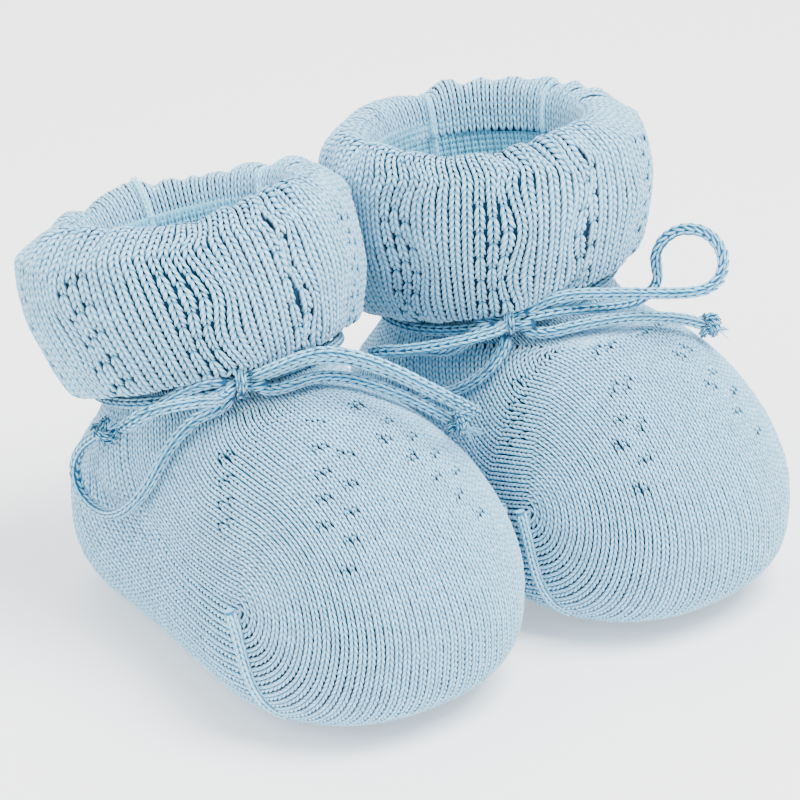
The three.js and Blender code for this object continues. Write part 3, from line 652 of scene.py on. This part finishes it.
ROUTES = {
    "right": {
        "loop_outer": [[-16.4, -3.4, 56], [-18.8, -0.6, 54.4], [-20.8, 1.8, 52.4], [-23.8, 4.1, 49.3],
      [-28.3, 3.8, 48.6], [-31.9, 1.3, 50], [-32.9, -2.2, 52.7], [-30.8, -5.2, 55.5], [-26, -6.6, 55.6],
      [-22.6, -8, 55.8], [-19.4, -7.4, 54.6], [-16.8, -6.2, 53.4]],
        "loop_inner": [[-6.6, -7.9, 56.4], [-2.4, -9.7, 58], [2, -10.8, 57.8], [6.2, -12.3, 56.8],
      [10.2, -14.6, 55], [13.4, -16.6, 53.2], [16.4, -18.2, 51.2], [19.8, -19.4, 48.7],
      [22.3, -23, 47.2], [22.5, -27.5, 47.5], [20.2, -31, 49.4], [16.5, -31.8, 52], [13.6, -28.6, 54.2],
      [11.4, -26, 55.8], [8.4, -22.4, 58], [4.8, -18.8, 59.8], [0.6, -15.8, 61.2], [-3.2, -13.2, 60.8],
      [-6.8, -10.7, 58.8]],
        "tail_outer": [[-14.6, -4.8, 51], [-17.8, -2.4, 49.8], [-20.7, -0.6, 46.8], [-23.3, 0.9, 42.9],
      [-25.5, 1.8, 38.1], [-27.2, 4.2, 33.4], [-27.8, 8.5, 29.2], [-27.4, 13.8, 26.4],
      [-26.8, 19.4, 25.4], [-26.4, 24.6, 26.8], [-26.1, 26.4, 32], [-25.9, 22.2, 37.2],
      [-25.7, 18.4, 40]],
        "tail_inner": [[-6.8, -8.2, 52.9], [-2.6, -9.6, 53.8], [1.6, -9.7, 53.7], [5.8, -10.9, 53],
      [9.4, -13.4, 51.8], [12.9, -16.4, 50], [17.2, -18.4, 47.4], [21.5, -20.9, 44]],
    },
    "left": {
        "loop_outer": [[-12.5, -10.8, 56.2], [-8.6, -13.4, 57.6], [-4.2, -16.8, 57.6], [0.4, -19.8, 57.4],
      [5, -23, 57.2], [10.9, -29.8, 57.9], [14.5, -30.2, 61.4], [15.9, -27.4, 65.5],
      [14.4, -22.8, 67.6], [11.3, -18.8, 66.3], [8.7, -17.2, 62], [11.2, -17.2, 56.2], [8.4, -16.2, 53],
      [4, -15.8, 52.6], [-1.6, -15.6, 53.6], [-6, -13.8, 54], [-10.8, -12.2, 54.2]],
        "loop_inner": [[-22.1, -4.8, 51.4], [-23, -2.2, 48], [-24, 0.2, 46], [-24.9, 2.8, 45],
      [-25.6, 6.5, 44.3], [-29, 9.6, 43.8], [-33.4, 10.1, 44.7], [-36.9, 7.8, 46.7], [-37.7, 3.8, 48.7],
      [-35, -0.6, 49.6], [-32, -5, 51.2], [-28.2, -8.2, 52.4], [-24.8, -9.6, 52.8],
      [-21.4, -9.4, 52.6]],
        "tail_outer": [[-13.5, -11.2, 50], [-10, -14.6, 51.6], [-6, -17, 52.4], [-1.6, -19.2, 52.8],
      [2.8, -20.6, 52.4], [7.2, -21.8, 51.4], [11.4, -22.6, 50.2], [14.8, -23.4, 48.6]],
        "tail_inner": [[-18.8, -8.6, 48.4], [-21.2, -8.2, 45.4], [-23.4, -6, 42], [-25, -2.6, 39.4],
      [-26.3, 1.5, 37], [-27.3, 5.6, 34.8], [-27.8, 9.8, 32.3], [-27.8, 13.5, 30.4]],
    },
}


def round_ankle(boot, degrees, off):
    """Points at turns round the ankle from the front, standing off the fabric."""
    _, across, front = tilted_frame(*boot["edge"])
    row = cast_row(boot, along_leg(boot, 0), front, np.atleast_1d(degrees), across)
    return row + body_normal(boot, row) * off


def make_cords(boot):
    name = boot["name"]
    skin = Skin()
    turn = math.degrees((4.3 + 1.5 * CLEARANCE) / (ANKLE_RADIUS + CLEARANCE + CORD / 2))
    ring = round_ankle(boot, boot["knot"] + np.linspace(turn, 360 - turn, 25), 3 * CLEARANCE + CORD / 2)
    cord_mesh(skin, smooth_path(ring), CORD)
    ob = skin.build("ankle_cord_knit", boot, [CORD_YARN])
    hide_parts(f"{name}_ankle_cord")

    centre = round_ankle(boot, boot["knot"], KNOT_OUT + 1.5 * CLEARANCE)[0]
    up = tilted_frame(*boot["edge"])[0]
    out = unit(round_ankle(boot, boot["knot"], 10)[0] - round_ankle(boot, boot["knot"], 0)[0])
    along = unit(np.cross(out, up))
    rise = np.cross(along, out)
    skin = Skin()
    place = lambda rows: centre + np.array(rows) @ np.array([along, out, rise])
    wrap = [[0.5 - 0.15 * i, 2.1 * math.cos(a), 2.2 * math.sin(a)]
            for i, a in enumerate(np.radians(np.linspace(-165, 165, 12)))]
    cord_mesh(skin, smooth_path(place(wrap)), 2.1, band=(0, 0.33))
    for k, rows in enumerate((
            [[-4.6, 0.1, 1.4], [-3, 0.6, 1.3], [-1, 0.3, 0.6], [1, 0.3, -0.2], [3, 0.6, -1], [4.6, 0.1, -1.3]],
            [[-4.6, 0, -1.3], [-3, 0.5, -1.4], [-1, -0.4, -0.8], [1, -0.4, 0.5], [3, 0.5, 1.3], [4.6, 0, 1.4]])):
        cord_mesh(skin, smooth_path(place(rows)), 2.2, band=(0.34 + 0.33 * k, 0.66 + 0.33 * k))
    bow = skin.build("bow_knot_knit", boot, [CORD_YARN])
    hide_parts(f"{name}_bow_knot")

    for part, route in ROUTES[name].items():
        route = np.array(route)
        into_knot = lambda p: p + (centre - p) * 0.5
        points = [into_knot(route[0]), *route]
        if part.startswith("loop"):
            points.append(into_knot(route[-1]))
        path = smooth_path(points)
        skin = Skin()
        cord_mesh(skin, path, CORD)
        ob = skin.build(f"{part}_knit", boot, [CORD_YARN])
        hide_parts(f"{name}_{part}")
        pieces = []
        if part.startswith("tail"):
            pieces = [end_knot(boot, part, path)]


def end_knot(boot, part, path):
    """The overhand knot near a tail's end, with the frayed yarns past it."""
    onward = unit(path[-1] - path[-2])
    side = unit(np.cross(onward, [0.2, 0.1, 1.0]))
    basis = np.array([side, np.cross(onward, side), onward])
    centre = path[-1] + onward * (END_KNOT_RADIUS + 1.5 * CLEARANCE)
    t = np.linspace(0, 2 * np.pi, 60)
    trefoil = 0.56 * np.stack([(2 + np.cos(3 * t)) * np.cos(2 * t), (2 + np.cos(3 * t)) * np.sin(2 * t),
                               1.5 * np.sin(3 * t)], -1)
    skin = Skin()
    cord_mesh(skin, centre + trefoil @ basis, 1.7, wales=4, course=1.0, band=(0, 0.8))
    for k in range(9):
        lean = RNG.normal(0, 0.22, 2)
        bend = RNG.normal(0, 0.5, 2)
        s = np.linspace(0, 1, 7)[:, None]
        reach = 3.2 + 1.6 * RNG.random()
        strand = np.concatenate([lean * reach * s + bend * s**2, 1.2 + reach * s], 1)
        grid = tube_grid(centre + strand @ basis, 0.2 * (1.05 - s[:, 0]), 6, wrap=True)
        u, v = np.meshgrid(np.linspace(0, 1, 6), np.linspace(0.81 + 0.02 * k, 0.825 + 0.02 * k, 7))
        skin.add(grid, grid_faces(7, 6, True), 0.8, np.stack([u, v], -1))
    ob = skin.build(f"{part}_knot_knit", boot, [CORD_YARN])
    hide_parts(f"{boot['name']}_{part}_knot")
    return ob


def make_seams(boot):
    down = front_direction(TOE_SEAM_ANGLE - 180)
    for part, sign in (("outer", boot["outside"]), ("inner", -boot["outside"])):
        row = cast_row(boot, TOE_POLE, down, sign * np.arange(90, 0, -6.0))
        row = row[row[:, 2] >= 3 + SEAM / 2]
        along = np.linspace(0, 1, len(row))[:, None]
        lift = 0.5 + 1.3 * np.exp(-along * 9) - 1.1 * along**6
        path = smooth_path(row + body_normal(boot, row) * lift)
        skin = Skin()
        cord_mesh(skin, path, 1.15 * SEAM, wales=4, course=1.2)
        ob = skin.build(f"toe_seam_{part}_knit", boot, [SEAM_YARN])
        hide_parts(f"{boot['name']}_toe_seam_{part}")


for boot in BOOTS:
    make_foot(boot)
    make_leg(boot)
    make_cuff(boot)
    make_seams(boot)
    make_cords(boot)

# ---- Floor, light and camera --------------------------------------------------------------------

floor = bpy.data.meshes.new("floor")
floor.from_pydata([(-4, -4, 0), (4, -4, 0), (4, 4, 0), (-4, 4, 0)], [], [(0, 1, 2, 3)])
pale = bpy.data.materials.new("pale_floor")
pale.use_nodes = True
pale.node_tree.nodes["Principled BSDF"].inputs["Base Color"].default_value = (0.93, 0.93, 0.93, 1)
pale.node_tree.nodes["Principled BSDF"].inputs["Roughness"].default_value = 0.9
pale.node_tree.nodes["Principled BSDF"].inputs["Emission Color"].default_value = (1, 1, 1, 1)
pale.node_tree.nodes["Principled BSDF"].inputs["Emission Strength"].default_value = 0.45
floor.materials.append(pale)
floor_object = bpy.data.objects.new("floor", floor)
bpy.context.scene.collection.objects.link(floor_object)

world = bpy.data.worlds.new("studio")
world.use_nodes = True
world.node_tree.nodes["Background"].inputs["Color"].default_value = (0.97, 0.985, 1, 1)
world.node_tree.nodes["Background"].inputs["Strength"].default_value = 1.05
bpy.context.scene.world = world

TARGET = Vector((0, 0.000083, 0.03))


def soft_light(name, azimuth, elevation, distance, size, power):
    a, e = math.radians(azimuth), math.radians(elevation)
    lamp = bpy.data.lights.new(name, "AREA")
    lamp.size = size
    lamp.energy = power
    ob = bpy.data.objects.new(name, lamp)
    offset = Vector((math.sin(a) * math.cos(e), -math.cos(a) * math.cos(e), math.sin(e)))
    ob.location = TARGET + offset * distance
    ob.rotation_euler = offset.to_track_quat("Z", "Y").to_euler()
    bpy.context.scene.collection.objects.link(ob)


soft_light("key", 25, 66, 1.0, 0.6, 26)
soft_light("fill", -85, 38, 1.2, 0.9, 9)
soft_light("back", 160, 50, 1.1, 0.8, 9)

camera = bpy.data.cameras.new("camera")
camera.lens = 151.07
camera.sensor_width = 36
camera.shift_x = -0.0221
camera.shift_y = 0.0440
camera.clip_start = 0.01
view = bpy.data.objects.new("camera", camera)
azimuth, elevation = math.radians(-39.21), math.radians(26.95)
direction = Vector((math.sin(azimuth) * math.cos(elevation), -math.cos(azimuth) * math.cos(elevation),
                    math.sin(elevation)))
view.location = TARGET + direction * 0.616
view.rotation_euler = direction.to_track_quat("Z", "Y").to_euler()
bpy.context.scene.collection.objects.link(view)
bpy.context.scene.camera = view
